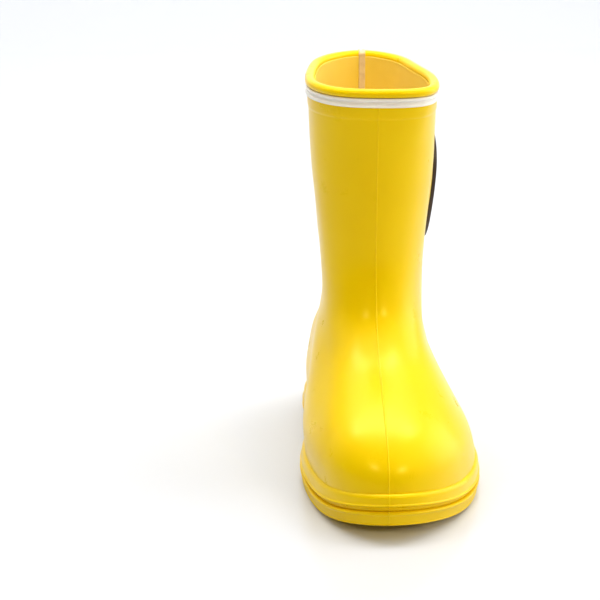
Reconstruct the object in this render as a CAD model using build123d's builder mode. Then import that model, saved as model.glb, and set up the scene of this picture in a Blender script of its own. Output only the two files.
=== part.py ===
"""Child's rubber rain boot for the left foot, as an assembly of its separate pieces.

Frame: millimetres, +Z up, toe toward -Y, heel toward +Y, outer side of the foot toward +X. The boot
stands on Z = 0. The right boot of the pair is the mirror image of this one in the YZ plane.
"""
from build123d import *
from math import asin, cos, hypot, pi, sin
import os

os.makedirs("parts", exist_ok=True)

# ---------------------------------------------------------------- driving dimensions
wall = 2.8                # rubber wall of the upper
cloth = 0.9               # knitted lining
glue = 0.1                # bond line between two skins
stiffener = 0.6           # toe puff and heel counter, set into pockets inside the wall
lining_board = 1.2        # sole of the lining
foam = 3.2                # removable insole, foam layer
cover = 0.7               # removable insole, cloth top layer
insole_side_gap = 1.6
insole_lift_gap = 0.3

parting_x = -5.9          # the mould's parting plane, through the toe, the shin and the heel
mouth_top = 182.0
roll_radius = 2.35        # rolled edging around the mouth
roll_proud = 1.0          # how far the roll stands out from the wall
wall_top = mouth_top - 2 * roll_radius
trim_low = 173.8          # white trim under the roll
trim_proud = 0.35
bead_high = 1.7           # raised bead along the lower edge of the trim
bead_proud = 0.9
cuff_low = 168.2          # above this height the wall is a little thicker
cuff_proud = 0.35

sole_proud = 1.8          # the sole stands out from the upper
sole_draft = 0.8          # and tapers in toward the ground
outsole_thick = 6.4
groove_top = 8.4          # a groove runs around between the outsole and the foxing band
groove_deep = 1.2
foxing_top = 15.4
filler_top = 8.0
lining_floor = filler_top + glue
floor_top = lining_floor + lining_board
foam_low = floor_top + insole_lift_gap
foam_top = foam_low + foam
cover_top = foam_top + cover

ball_y = -45.0            # in front of this line the sole curves up
toe_y = -90.8
toe_spring = 8.0
spring_radius = ((ball_y - toe_y) ** 2 + toe_spring ** 2) / (2 * toe_spring)
foxing_spring = 6.6       # the foxing band's upper edge rises a little less toward the toe
foxing_radius = ((ball_y - toe_y) ** 2 + foxing_spring ** 2) / (2 * foxing_spring)
arch_front = -8.0         # hollow under the waist of the foot, up to the heel's front face
arch_back = 36.0
arch_high = 3.2
tread_deep = 2.0
tread_width = 3.2
tread_pitch = 8.0
tread_margin = 5.5        # plain rim around the tread

badge_y = 44.0            # centre of the oval badge on the outer side
badge_z = 127.9
badge_wide = 42.0
badge_high = 60.0
boss_proud = 0.5          # moulded seat under the badge
boss_margin = 1.2
badge_thick = 1.8
drop_thick = 1.0
drop_radius = 7.3

tape_width = 3.2          # woven tape over the lining's back seam
tape_thick = 0.5

# The last, as rows of: height, front and back of the section, half widths on the outer side, half
# widths on the inner side. The widths are measured from the parting plane, at these fractions of the
# section's length.
STATIONS = (0.05, 0.20, 0.40, 0.62, 0.87)
LAST = (
    (2.0, -86.6, 88.0, 20.2, 39.0, 43.5, 31.8, 27.3, 15.6, 28.4, 31.7, 25.7, 25.3),
    (14.0, -89.6, 89.5, 21.1, 40.4, 45.1, 33.3, 28.3, 16.4, 29.3, 32.8, 26.7, 26.3),
    (28.0, -87.8, 89.5, 21.3, 38.9, 41.9, 33.2, 28.8, 18.4, 31.3, 33.8, 28.6, 26.2),
    (40.0, -79.0, 89.0, 19.6, 32.9, 35.7, 32.0, 27.3, 17.9, 28.0, 32.0, 27.4, 24.6),
    (50.0, -60.0, 87.5, 15.7, 27.6, 29.8, 29.2, 25.5, 15.1, 24.3, 29.1, 26.8, 22.0),
    (61.0, -34.0, 85.5, 13.5, 23.1, 24.9, 26.9, 22.3, 13.4, 22.0, 26.5, 22.6, 17.3),
    (78.0, -15.0, 83.0, 12.7, 21.6, 25.4, 24.7, 18.6, 12.5, 21.6, 22.8, 21.3, 17.2),
    (105.0, -8.5, 82.5, 13.1, 23.3, 26.3, 24.5, 17.4, 12.5, 23.1, 24.5, 24.3, 18.6),
    (145.0, -9.2, 85.8, 16.5, 26.9, 28.9, 24.4, 16.6, 14.0, 26.2, 28.4, 26.6, 19.8),
    (182.0, -11.5, 88.9, 23.9, 28.5, 28.4, 24.0, 16.6, 18.4, 28.7, 30.2, 27.8, 19.8),
)
LOFT_HEIGHTS = (2, 8, 14, 20, 26, 31, 36, 40, 44, 48, 52, 56, 61, 67, 74, 82, 92, 105, 118, 131, 145,
                158, 170, 182)
sole_height = 14.0        # the sole's plan outline follows the last at this height


# ---------------------------------------------------------------- shared geometry
def rise(row, column):
    """Change of one column of the last per millimetre of height, at one of its rows."""
    def between(a, b):
        return (LAST[b][column] - LAST[a][column]) / (LAST[b][0] - LAST[a][0])

    if row == 0:
        return between(0, 1)
    if row == len(LAST) - 1:
        return between(row - 1, row)
    before = between(row - 1, row)
    after = between(row, row + 1)
    return 2 * before * after / (before + after) if before * after > 0 else 0.0


def last_value(column, z):
    """One column of the last at any height: a smooth curve through its rows that never overshoots."""
    row = max(i for i in range(len(LAST) - 1) if i == 0 or LAST[i][0] <= z)
    step = LAST[row + 1][0] - LAST[row][0]
    t = (z - LAST[row][0]) / step
    low, high = LAST[row][column], LAST[row + 1][column]
    low_rise, high_rise = rise(row, column) * step, rise(row + 1, column) * step
    return (low + t * low_rise + t * t * (3 * (high - low) - 2 * low_rise - high_rise)
            + t ** 3 * (2 * (low - high) + low_rise + high_rise))


def moved_value(column, z, grow):
    """The same, moved by grow measured square to the leaning surface instead of level."""
    below = max(z - 2, LAST[0][0])
    above = min(z + 2, LAST[-1][0])
    lean = (last_value(column, above) - last_value(column, below)) / (above - below)
    return last_value(column, z) + grow * hypot(1, lean)


def section_points(z, grow):
    """Points around one level section of the last, from the toe along the outer side and back."""
    front = moved_value(1, z, -grow)
    back = moved_value(2, z, grow)
    ys = [front + (back - front) * t for t in STATIONS]
    outer = [(parting_x + moved_value(3 + i, z, grow), y) for i, y in enumerate(ys)]
    inner = [(parting_x - moved_value(8 + i, z, grow), y) for i, y in enumerate(ys)]
    return [(parting_x, front)] + outer + [(parting_x, back)] + inner[::-1]


def last_body(grow):
    """The whole last as a solid, grown by grow, or shrunk where grow is negative."""
    with BuildPart(mode=Mode.PRIVATE) as body:
        for z in LOFT_HEIGHTS:
            with BuildSketch(Plane.XY.offset(z)):
                with BuildLine():
                    Spline(*section_points(z, grow), periodic=True)
                make_face()
        loft()
    return body.part


def sole_body(grow, draft=0.0):
    """Upright body over the sole's outline. With draft it narrows toward the ground."""
    with BuildPart(mode=Mode.PRIVATE) as body:
        for z, change in ((-5.0, -draft), (sole_height + 30, draft)):
            with BuildSketch(Plane.XY.offset(z)):
                with BuildLine():
                    Spline(*section_points(sole_height, sole_proud + grow + change), periodic=True)
                make_face()
        loft(ruled=True)
    return body.part


def under(level, curve=spring_radius):
    """Everything below the surface that runs this far above the sole's underside."""
    radius = curve - level
    turn = asin(0.42)
    toe_end = (ball_y - radius * sin(turn), curve - radius * cos(turn))
    middle = (ball_y - radius * sin(turn / 2), curve - radius * cos(turn / 2))
    with BuildPart(mode=Mode.PRIVATE) as region:
        with BuildSketch(Plane.YZ):
            with BuildLine():
                Polyline((ball_y, level), (120, level), (120, -20), (toe_end[0], -20), toe_end)
                ThreePointArc(toe_end, middle, (ball_y, level))
            make_face()
        extrude(amount=70, both=True)
    return region.part


def between_heights(low, high):
    """Everything between two heights."""
    with BuildPart(Plane.XY.offset(low), mode=Mode.PRIVATE) as layer:
        Box(150, 250, high - low, align=(Align.CENTER, Align.CENTER, Align.MIN))
    return layer.part


def oval_through_side(wide, high):
    """Oval bar through the outer side of the shaft at the badge."""
    with BuildPart(mode=Mode.PRIVATE) as bar:
        with BuildSketch(Plane.YZ):
            with Locations((badge_y, badge_z)):
                Ellipse(wide / 2, high / 2)
        extrude(amount=60)
    return bar.part


def toe_zone(margin):
    """Region of the toe puff, with room around it."""
    with BuildPart(mode=Mode.PRIVATE) as zone:
        with BuildSketch(Plane.YZ):
            with Locations((-75, 26)):
                RectangleRounded(52 + 2 * margin, 60 + 2 * margin, 14)
        extrude(amount=60, both=True)
    return zone.part


def heel_zone(margin):
    """Region of the heel counter, with room around it."""
    with BuildPart(mode=Mode.PRIVATE) as zone:
        with BuildSketch(Plane.YZ):
            with Locations((80, 26)):
                RectangleRounded(64 + 2 * margin, 60 + 2 * margin, 18)
        extrude(amount=60, both=True)
    return zone.part


outer_last = last_body(0)
wall_inside = last_body(-wall)
lining_outside = last_body(-wall - glue)
lining_inside = last_body(-wall - glue - cloth)
stiffener_outside = last_body(stiffener - wall)
pocket_outside = last_body(stiffener + glue - wall)
insole_shape = last_body(-wall - glue - cloth - insole_side_gap)

# ---------------------------------------------------------------- moulded rubber
# Upper: foot and shaft in one moulding, with a thicker cuff, a seat for the badge, and two shallow
# pockets inside for the stiffeners.
with BuildPart() as cuff_ring:
    add(last_body(cuff_proud))
    add(between_heights(cuff_low, trim_low), mode=Mode.INTERSECT)

with BuildPart() as badge_boss:
    add(last_body(boss_proud))
    add(oval_through_side(badge_wide + 2 * boss_margin, badge_high + 2 * boss_margin), mode=Mode.INTERSECT)

with BuildPart() as pockets:
    add(toe_zone(glue))
    add(heel_zone(glue))
    add(pocket_outside, mode=Mode.INTERSECT)

with BuildPart() as upper_shell:
    add(outer_last)
    add(cuff_ring.part)
    add(badge_boss.part)
    add(between_heights(wall_top, mouth_top + 10), mode=Mode.SUBTRACT)
    add(wall_inside, mode=Mode.SUBTRACT)
    add(pockets.part, mode=Mode.SUBTRACT)
    add(under(outsole_thick), mode=Mode.SUBTRACT)
upper_shell.part.label = "upper_shell"

# Rolled edging around the mouth.
with BuildPart() as top_roll:
    with BuildLine() as roll_path:
        mouth = section_points(wall_top + roll_radius, roll_proud - roll_radius)
        Spline(*[(x, y, wall_top + roll_radius) for x, y in mouth], periodic=True)
    with BuildSketch(Plane(origin=roll_path.line @ 0, z_dir=roll_path.line % 0)):
        Circle(roll_radius)
    sweep(path=roll_path.line)
top_roll.part.label = "top_roll"

# White trim: a flat strip under the roll with a raised bead along its lower edge.
with BuildPart() as trim_bead:
    add(last_body(bead_proud))
    add(between_heights(trim_low, trim_low + bead_high), mode=Mode.INTERSECT)

with BuildPart() as white_trim:
    add(last_body(trim_proud))
    add(between_heights(trim_low, wall_top), mode=Mode.INTERSECT)
    add(trim_bead.part)
    add(last_body(glue / 2), mode=Mode.SUBTRACT)
white_trim.part.label = "white_trim"

# Foxing band: the raised band around the top of the sole, over a groove.
with BuildPart() as groove_ring:
    add(sole_body(-groove_deep))
    add(under(groove_top), mode=Mode.INTERSECT)

with BuildPart() as foxing_band:
    add(sole_body(0))
    add(under(groove_top), mode=Mode.SUBTRACT)
    add(groove_ring.part)
    add(under(foxing_top, foxing_radius), mode=Mode.INTERSECT)
    add(under(outsole_thick), mode=Mode.SUBTRACT)
    add(last_body(glue / 2), mode=Mode.SUBTRACT)
foxing_band.part.label = "foxing_band"

# Outsole: underside with toe spring, a hollow at the waist and cross grooves as tread.
with BuildPart() as tread:
    with BuildSketch(Plane.XY.offset(-5)):
        with Locations((0, -46)):
            with GridLocations(0, tread_pitch, 1, 9):
                Rectangle(120, tread_width)
        with Locations((0, 65)):
            with GridLocations(0, tread_pitch, 1, 5):
                Rectangle(120, tread_width)
    extrude(amount=30)
    add(sole_body(-tread_margin), mode=Mode.INTERSECT)
    add(under(tread_deep), mode=Mode.INTERSECT)

with BuildPart() as arch:
    with BuildSketch(Plane.YZ):
        with BuildLine():
            Spline((arch_front, 0), (arch_back - 2, arch_high), tangents=[(1, 0), (1, 0)])
            Polyline((arch_back - 2, arch_high), (arch_back, 0), (arch_back, -8), (arch_front, -8),
                     (arch_front, 0))
        make_face()
    extrude(amount=70, both=True)

with BuildPart() as outsole:
    add(sole_body(0, sole_draft))
    add(under(outsole_thick), mode=Mode.INTERSECT)
    add(under(0), mode=Mode.SUBTRACT)
    add(arch.part, mode=Mode.SUBTRACT)
    add(tread.part, mode=Mode.SUBTRACT)
outsole.part.label = "outsole"

# Sponge rubber that levels the sole inside the upper.
with BuildPart() as sole_filler:
    add(lining_outside)
    add(under(filler_top), mode=Mode.INTERSECT)
    add(under(outsole_thick), mode=Mode.SUBTRACT)
sole_filler.part.label = "sole_filler"

# ---------------------------------------------------------------- inside pieces
with BuildPart() as toe_puff:
    add(stiffener_outside)
    add(toe_zone(0), mode=Mode.INTERSECT)
    add(wall_inside, mode=Mode.SUBTRACT)
    add(under(outsole_thick + glue), mode=Mode.SUBTRACT)
toe_puff.part.label = "toe_puff"

with BuildPart() as heel_counter:
    add(stiffener_outside)
    add(heel_zone(0), mode=Mode.INTERSECT)
    add(wall_inside, mode=Mode.SUBTRACT)
    add(under(outsole_thick + glue), mode=Mode.SUBTRACT)
heel_counter.part.label = "heel_counter"

# Knitted lining, one tube from the sole to the roll, closed below by a stitched-in sole.
with BuildPart() as lining_sock:
    add(lining_outside)
    add(lining_inside, mode=Mode.SUBTRACT)
    add(between_heights(wall_top, mouth_top + 10), mode=Mode.SUBTRACT)
    add(under(lining_floor), mode=Mode.SUBTRACT)
lining_sock.part.label = "lining_sock"

with BuildPart() as lining_sole:
    add(last_body(-wall - cloth - 2 * glue))
    add(under(floor_top), mode=Mode.INTERSECT)
    add(under(lining_floor), mode=Mode.SUBTRACT)
lining_sole.part.label = "lining_sole"

# Woven tape over the lining's back seam: up the inside of the heel and over the roll.
tape_gap = 0.3            # the flat tape bridges the curve behind it
tape_line = -wall - cloth - glue - tape_gap
roll_y = moved_value(2, wall_top + roll_radius, roll_proud - roll_radius)
roll_z = wall_top + roll_radius
tape_heights = [floor_top + glue, 30, 50, 70, 90, 110, 130, 150, wall_top - 3]


def tape_loop(radius, angle):
    """A point on the tape's turn over the roll. The angle is counted from the inside."""
    return (roll_y - radius * cos(angle), roll_z + radius * sin(angle))


with BuildPart() as back_seam_tape:
    with BuildSketch(Plane.YZ.offset(parting_x)):
        with BuildLine():
            near = roll_radius + tape_gap
            far = near + tape_thick
            near_line = [(moved_value(2, z, tape_line), z) for z in tape_heights]
            far_line = [(moved_value(2, z, tape_line - tape_thick), z) for z in tape_heights]
            Spline(*near_line, tape_loop(near, 0))
            ThreePointArc(tape_loop(near, 0), tape_loop(near, pi / 2), tape_loop(near, pi))
            Line(tape_loop(near, pi), tape_loop(far, pi))
            ThreePointArc(tape_loop(far, pi), tape_loop(far, pi / 2), tape_loop(far, 0))
            Spline(*far_line, tape_loop(far, 0))
            Line(near_line[0], far_line[0])
        make_face()
    extrude(amount=tape_width / 2, both=True)
back_seam_tape.part.label = "back_seam_tape"

# Removable insole: foam with a cloth top.
with BuildPart() as insole_foam:
    add(insole_shape)
    add(under(foam_top), mode=Mode.INTERSECT)
    add(under(foam_low), mode=Mode.SUBTRACT)
insole_foam.part.label = "insole_foam"

with BuildPart() as insole_cover:
    add(insole_shape)
    add(under(cover_top), mode=Mode.INTERSECT)
    add(under(foam_top), mode=Mode.SUBTRACT)
insole_cover.part.label = "insole_cover"

# ---------------------------------------------------------------- side badge
badge_seat = boss_proud + glue
with BuildPart() as badge_plate:
    add(last_body(badge_seat + badge_thick))
    add(oval_through_side(badge_wide, badge_high), mode=Mode.INTERSECT)
    add(last_body(badge_seat), mode=Mode.SUBTRACT)
badge_plate.part.label = "badge_plate"

drop_seat = badge_seat + badge_thick
with BuildPart() as badge_drop:
    with BuildSketch(Plane.YZ):
        with Locations((badge_y, badge_z - 4)):
            Circle(drop_radius)
        with BuildLine():
            Polyline((badge_y - drop_radius * 0.92, badge_z - 1.1), (badge_y, badge_z + 14.5),
                     (badge_y + drop_radius * 0.92, badge_z - 1.1), close=True)
        make_face()
    extrude(amount=60)
    add(last_body(drop_seat + drop_thick), mode=Mode.INTERSECT)
    add(last_body(drop_seat), mode=Mode.SUBTRACT)
badge_drop.part.label = "badge_drop"

export_step(upper_shell.part, "parts/upper_shell.step")
export_step(top_roll.part, "parts/top_roll.step")
export_step(white_trim.part, "parts/white_trim.step")
export_step(foxing_band.part, "parts/foxing_band.step")
export_step(outsole.part, "parts/outsole.step")
export_step(sole_filler.part, "parts/sole_filler.step")
export_step(toe_puff.part, "parts/toe_puff.step")
export_step(heel_counter.part, "parts/heel_counter.step")
export_step(lining_sock.part, "parts/lining_sock.step")
export_step(lining_sole.part, "parts/lining_sole.step")
export_step(back_seam_tape.part, "parts/back_seam_tape.step")
export_step(insole_foam.part, "parts/insole_foam.step")
export_step(insole_cover.part, "parts/insole_cover.step")
export_step(badge_plate.part, "parts/badge_plate.step")
export_step(badge_drop.part, "parts/badge_drop.step")
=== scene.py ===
"""Child's rubber rain boot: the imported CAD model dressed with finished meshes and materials.

Form and surfaces are worked out in millimetres, in the CAD frame (+Z up, toe toward -Y, outer side
toward +X), and turned into metres when a mesh is made.
"""
import math

import bpy
import numpy as np
from mathutils import Matrix, Vector


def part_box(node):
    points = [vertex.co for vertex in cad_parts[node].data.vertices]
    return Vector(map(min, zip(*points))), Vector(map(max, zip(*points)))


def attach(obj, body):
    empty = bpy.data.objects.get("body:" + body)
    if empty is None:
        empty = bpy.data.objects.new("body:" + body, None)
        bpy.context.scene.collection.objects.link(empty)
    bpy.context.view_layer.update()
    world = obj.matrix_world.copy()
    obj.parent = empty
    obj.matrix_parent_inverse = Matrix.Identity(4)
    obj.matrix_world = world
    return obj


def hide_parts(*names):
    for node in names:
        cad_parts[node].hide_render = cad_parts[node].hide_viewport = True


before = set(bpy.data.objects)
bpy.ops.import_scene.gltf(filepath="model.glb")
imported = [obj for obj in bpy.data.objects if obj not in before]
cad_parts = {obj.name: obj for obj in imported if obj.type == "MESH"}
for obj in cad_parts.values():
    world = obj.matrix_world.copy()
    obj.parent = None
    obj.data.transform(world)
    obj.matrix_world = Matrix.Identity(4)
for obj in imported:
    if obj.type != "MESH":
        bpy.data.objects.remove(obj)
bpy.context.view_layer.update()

MM = 0.001


def node_box(name):
    """Lowest and highest corner of a CAD node, in millimetres."""
    low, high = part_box(name)
    return np.array(low) / MM, np.array(high) / MM


# ---------------------------------------------------------------- sizes taken from the frame
tape_low, tape_high = node_box("back_seam_tape")
roll_low, roll_high = node_box("top_roll")
badge_low, badge_high = node_box("badge_plate")
drop_low, drop_high = node_box("badge_drop")

parting_x = (tape_low[0] + tape_high[0]) / 2
tape_width = tape_high[0] - tape_low[0]
wall_top = roll_low[2]
roll_radius = (roll_high[2] - roll_low[2]) / 2
trim_low = node_box("white_trim")[0][2]
badge_centre = (badge_low + badge_high) / 2
badge_half_wide = (badge_high[1] - badge_low[1]) / 2
badge_half_high = (badge_high[2] - badge_low[2]) / 2
toe_y = node_box("outsole")[0][1]

# ---------------------------------------------------------------- sizes in millimetres
# Most are the CAD model's own. The tape's gap is smaller here than there.
wall = 2.8
glue = 0.1
lining_thick = 0.9
tape_thick = 0.5
tape_gap = 0.15           # between the tape and the lining
tape_columns = 25         # points across the tape
roll_proud = 1.0
cuff_low = 168.2
cuff_proud = 0.35
boss_proud = 0.5
boss_margin = 1.2
badge_thick = 1.8
drop_thick = 1.0
sole_proud = 1.8
sole_height = 14.0
outsole_thick = 6.4
foxing_top = 15.4
foxing_spring = 6.6
ball_y = -45.0
toe_reach = 90.8          # how far the toe's tip is ahead of the origin
toe_spring = 8.0
tread_deep = 2.0
tread_width = 3.2
tread_pitch = 8.0
tread_margin = 5.5
groove_flare_in, groove_flare_out = 0.12, 0.10   # how far a groove's slanted wall reaches in and out
groove_end = 0.14         # half the length of the slope that closes a groove's end
arch_front, arch_back, arch_high = -8.0, 36.0, 3.2
lining_floor = 8.1
foam_low, foam_top, cover_top = 9.6, 12.8, 13.5
insole_side_gap = 1.6
knit_wale = 0.62          # distance between two columns of loops in the lining
knit_row = 0.55
spring_radius = ((ball_y + toe_reach) ** 2 + toe_spring ** 2) / (2 * toe_spring)
foxing_radius = ((ball_y + toe_reach) ** 2 + foxing_spring ** 2) / (2 * foxing_spring)

# Level sections of the last: height, front, back, then half widths on the outer and inner side of
# the parting plane at these fractions of the section's length.
STATIONS = np.array((0.05, 0.20, 0.40, 0.62, 0.87))
LAST = np.array((
    (2.0, -86.6, 88.0, 20.2, 39.0, 43.5, 31.8, 27.3, 15.6, 28.4, 31.7, 25.7, 25.3),
    (14.0, -89.6, 89.5, 21.1, 40.4, 45.1, 33.3, 28.3, 16.4, 29.3, 32.8, 26.7, 26.3),
    (28.0, -87.8, 89.5, 21.3, 38.9, 41.9, 33.2, 28.8, 18.4, 31.3, 33.8, 28.6, 26.2),
    (40.0, -79.0, 89.0, 19.6, 32.9, 35.7, 32.0, 27.3, 17.9, 28.0, 32.0, 27.4, 24.6),
    (50.0, -60.0, 87.5, 15.7, 27.6, 29.8, 29.2, 25.5, 15.1, 24.3, 29.1, 26.8, 22.0),
    (61.0, -34.0, 85.5, 13.5, 23.1, 24.9, 26.9, 22.3, 13.4, 22.0, 26.5, 22.6, 17.3),
    (78.0, -15.0, 83.0, 12.7, 21.6, 25.4, 24.7, 18.6, 12.5, 21.6, 22.8, 21.3, 17.2),
    (105.0, -8.5, 82.5, 13.1, 23.3, 26.3, 24.5, 17.4, 12.5, 23.1, 24.5, 24.3, 18.6),
    (145.0, -9.2, 85.8, 16.5, 26.9, 28.9, 24.4, 16.6, 14.0, 26.2, 28.4, 26.6, 19.8),
    (182.0, -11.5, 88.9, 23.9, 28.5, 28.4, 24.0, 16.6, 18.4, 28.7, 30.2, 27.8, 19.8),
))
form_step = 0.5           # height between two rows of the sampled form
form_blend = 3.0          # the table's rows are blended over about this height


# ---------------------------------------------------------------- the form
def monotone_rises(z, values):
    """Slopes for a cubic through the rows of the table that never overshoots."""
    steps = np.diff(values, axis=0) / np.diff(z)[:, None]
    before, after = steps[:-1], steps[1:]
    same_way = before * after > 0
    total = np.where(same_way, before + after, 1.0)
    inner = np.where(same_way, 2 * before * after / total, 0.0)
    return np.vstack([steps[:1], inner, steps[-1:]])


def table_at(heights):
    """The last's columns at any heights."""
    z, values = LAST[:, 0], LAST[:, 1:]
    rises = monotone_rises(z, values)
    inside = np.clip(heights, z[0], z[-1])
    row = np.clip(np.searchsorted(z, inside, side="right") - 1, 0, len(z) - 2)
    step = (z[row + 1] - z[row])[:, None]
    t = ((inside - z[row])[:, None]) / step
    low, high = values[row], values[row + 1]
    low_rise, high_rise = rises[row] * step, rises[row + 1] * step
    beyond = (heights - inside)[:, None] * np.where(heights[:, None] < z[0], rises[0], rises[-1])
    return (low + t * low_rise + t * t * (3 * (high - low) - 2 * low_rise - high_rise)
            + t ** 3 * (2 * (low - high) + low_rise + high_rise)) + beyond


def blended_table(heights):
    """The same, with the joints between rows blended so that the rubber shows no bands."""
    reach = np.arange(-2.5 * form_blend, 2.5 * form_blend + 0.1, 0.5)
    weights = np.exp(-0.5 * (reach / form_blend) ** 2)
    total = sum(w * table_at(heights + r) for w, r in zip(weights, reach))
    return total / weights.sum()


def closed_curve(points, where):
    """Points of a smooth closed curve through the given points. where counts from point to point."""
    count = len(points)
    chord = np.linalg.norm(np.roll(points, -1, axis=0) - points, axis=1)
    matrix = np.zeros((count, count))
    right = np.zeros((count, 2))
    for i in range(count):
        before, after = chord[i - 1], chord[i]
        matrix[i, i - 1] += after
        matrix[i, i] += 2 * (before + after)
        matrix[i, (i + 1) % count] += before
        right[i] = 3 * (after * (points[i] - points[i - 1]) / before
                        + before * (points[(i + 1) % count] - points[i]) / after)
    slopes = np.linalg.solve(matrix, right)
    i = np.floor(where).astype(int) % count
    j = (i + 1) % count
    t = (where - np.floor(where))[:, None]
    step = chord[i][:, None]
    low, high, a, b = points[i], points[j], slopes[i] * step, slopes[j] * step
    return (low + t * a + t * t * (3 * (high - low) - 2 * a - b) + t ** 3 * (2 * (low - high) + a + b))


def column_places():
    """Where the mesh columns stand around a section, finer beside the parting line, front and back."""
    fine = np.array((0.004, 0.008, 0.012, 0.016, 0.021, 0.027, 0.035, 0.046, 0.062, 0.085))
    half = np.concatenate([[0.0], fine, np.arange(0.115, 5.9, 0.034), 6 - fine[::-1]])
    return np.concatenate([half, half + 6])


class Form:
    """The outside of the boot as a grid of points and surface directions, by height and column."""

    def __init__(self):
        self.places = column_places()
        self.z = np.arange(1.0, 187.0, form_step)
        rows = blended_table(self.z)
        self.xy = np.array([self.section(row) for row in rows])
        point = np.dstack([self.xy, np.repeat(self.z[:, None], len(self.places), axis=1)])
        around = np.roll(point, -1, axis=1) - np.roll(point, 1, axis=1)
        upward = np.gradient(point, axis=0)
        normal = np.cross(around, upward)
        self.normal = normal / np.linalg.norm(normal, axis=2, keepdims=True)

    def section(self, row):
        """One level section of the form."""
        front, back = row[0], row[1]
        ys = front + (back - front) * STATIONS
        outer = np.column_stack([parting_x + row[2:7], ys])
        inner = np.column_stack([parting_x - row[7:12], ys])[::-1]
        ends = np.array([[parting_x, front]]), np.array([[parting_x, back]])
        return closed_curve(np.vstack([ends[0], outer, ends[1], inner]), self.places)

    def at(self, heights):
        """Points and surface directions for an array of heights with one column per place."""
        place = np.clip((heights - self.z[0]) / form_step, 0, len(self.z) - 1.001)
        low = np.floor(place).astype(int)
        t = (place - low)[..., None]
        column = np.broadcast_to(np.arange(len(self.places)), heights.shape)
        xy = self.xy[low, column] * (1 - t) + self.xy[low + 1, column] * t
        normal = self.normal[low, column] * (1 - t) + self.normal[low + 1, column] * t
        normal /= np.linalg.norm(normal, axis=-1, keepdims=True)
        return np.concatenate([xy, heights[..., None]], axis=-1), normal

    def skin(self, heights, grow):
        """The surface at these heights, moved outward by grow. Both may be arrays."""
        point, normal = self.at(heights)
        return point + normal * np.broadcast_to(grow, heights.shape)[..., None]


def sole_level(y, level, curve=spring_radius):
    """Height of the surface that runs this far above the sole's underside."""
    ahead = np.clip(ball_y - y, 0, None)
    radius = curve - level
    return curve - np.sqrt(radius ** 2 - ahead ** 2)


def smooth_step(value, low, high):
    t = np.clip((value - low) / (high - low), 0, 1)
    return t * t * (3 - 2 * t)


form = Form()
COLUMNS = len(form.places)
base_y = form.xy[int((sole_height - form.z[0]) / form_step), :, 1]


def rows_between(low, high, count):
    """Heights of level rows, one column per place."""
    return np.repeat(np.linspace(low, high, count)[:, None], COLUMNS, axis=1)


def near_parting(points, half_width):
    """1 on the mould's parting line, fading to 0 beside it."""
    return np.exp(-((points[..., 0] - parting_x) / half_width) ** 2)


def unevenness(points, size):
    """Slow unevenness of a moulded skin, between -1 and 1."""
    x, y, z = (points[..., i] / size for i in range(3))
    return (np.sin(1.9 * x + 0.7 * z + 0.4) * np.sin(1.3 * y - 0.9 * z + 1.1)
            + 0.6 * np.sin(2.7 * y + 1.7 * x + 2.0) * np.sin(2.1 * z - 1.1 * x + 0.3)) / 1.6


# ---------------------------------------------------------------- mesh making
def make_mesh(name, points, faces, body, material):
    """A mesh object from points in millimetres, riding on a body."""
    mesh = bpy.data.meshes.new(name)
    mesh.from_pydata((np.asarray(points) * MM).tolist(), [], [list(map(int, f)) for f in faces])
    mesh.validate()
    mesh.polygons.foreach_set("use_smooth", [True] * len(mesh.polygons))
    mesh.materials.append(material)
    piece = bpy.data.objects.new(name, mesh)
    bpy.context.scene.collection.objects.link(piece)
    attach(piece, body)
    return piece


def ring_faces(ring_count, size, wrap_rings, wrap_columns=True):
    """Quads between rings of points. Columns run to the next point of a ring."""
    rings = np.arange(ring_count if wrap_rings else ring_count - 1)
    columns = np.arange(size if wrap_columns else size - 1)
    r, c = (a.ravel() for a in np.meshgrid(rings, columns, indexing="ij"))
    up, over = (r + 1) % ring_count, (c + 1) % size
    return np.column_stack([r * size + c, r * size + over, up * size + over, up * size + c])


def closed_skin(name, rings, body, material):
    """A closed wall: rings up its outside, then down its inside and back to the first."""
    rings = np.asarray(rings)
    faces = ring_faces(rings.shape[0], rings.shape[1], wrap_rings=True)
    return make_mesh(name, rings.reshape(-1, 3), faces, body, material)


def tube(name, rings, body, material):
    """A closed bar: cross-sections along it, with a face at each end."""
    rings = np.asarray(rings)
    count, size = rings.shape[:2]
    faces = ring_faces(count, size, wrap_rings=False).tolist()
    faces.append(list(range(size))[::-1])
    faces.append([(count - 1) * size + i for i in range(size)])
    return make_mesh(name, rings.reshape(-1, 3), faces, body, material)


# ---------------------------------------------------------------- materials
def new_material(name):
    material = bpy.data.materials.new(name)
    material.use_nodes = True
    tree = material.node_tree
    return material, tree, tree.nodes["Principled BSDF"]


def add_node(tree, kind, settings=None, **inputs):
    """A node with its settings and its plain or linked inputs."""
    node = tree.nodes.new(kind)
    for key, value in (settings or {}).items():
        setattr(node, key, value)
    for key, value in inputs.items():
        socket = node.inputs[key.replace("_", " ")]
        if isinstance(value, bpy.types.NodeSocket):
            tree.links.new(value, socket)
        else:
            socket.default_value = value
    return node


def place(tree):
    """Texture coordinates in metres."""
    return add_node(tree, "ShaderNodeTexCoord").outputs["Object"]


def noise(tree, coordinates, scale, detail=2.0, roughness=0.5):
    node = add_node(tree, "ShaderNodeTexNoise", Vector=coordinates, Scale=scale, Detail=detail,
                    Roughness=roughness)
    return node.outputs["Fac"]


def math_node(tree, operation, a, b=0.0):
    node = add_node(tree, "ShaderNodeMath", {"operation": operation})
    for socket, value in zip(node.inputs, (a, b)):
        if isinstance(value, bpy.types.NodeSocket):
            tree.links.new(value, socket)
        else:
            socket.default_value = value
    return node.outputs[0]


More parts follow.
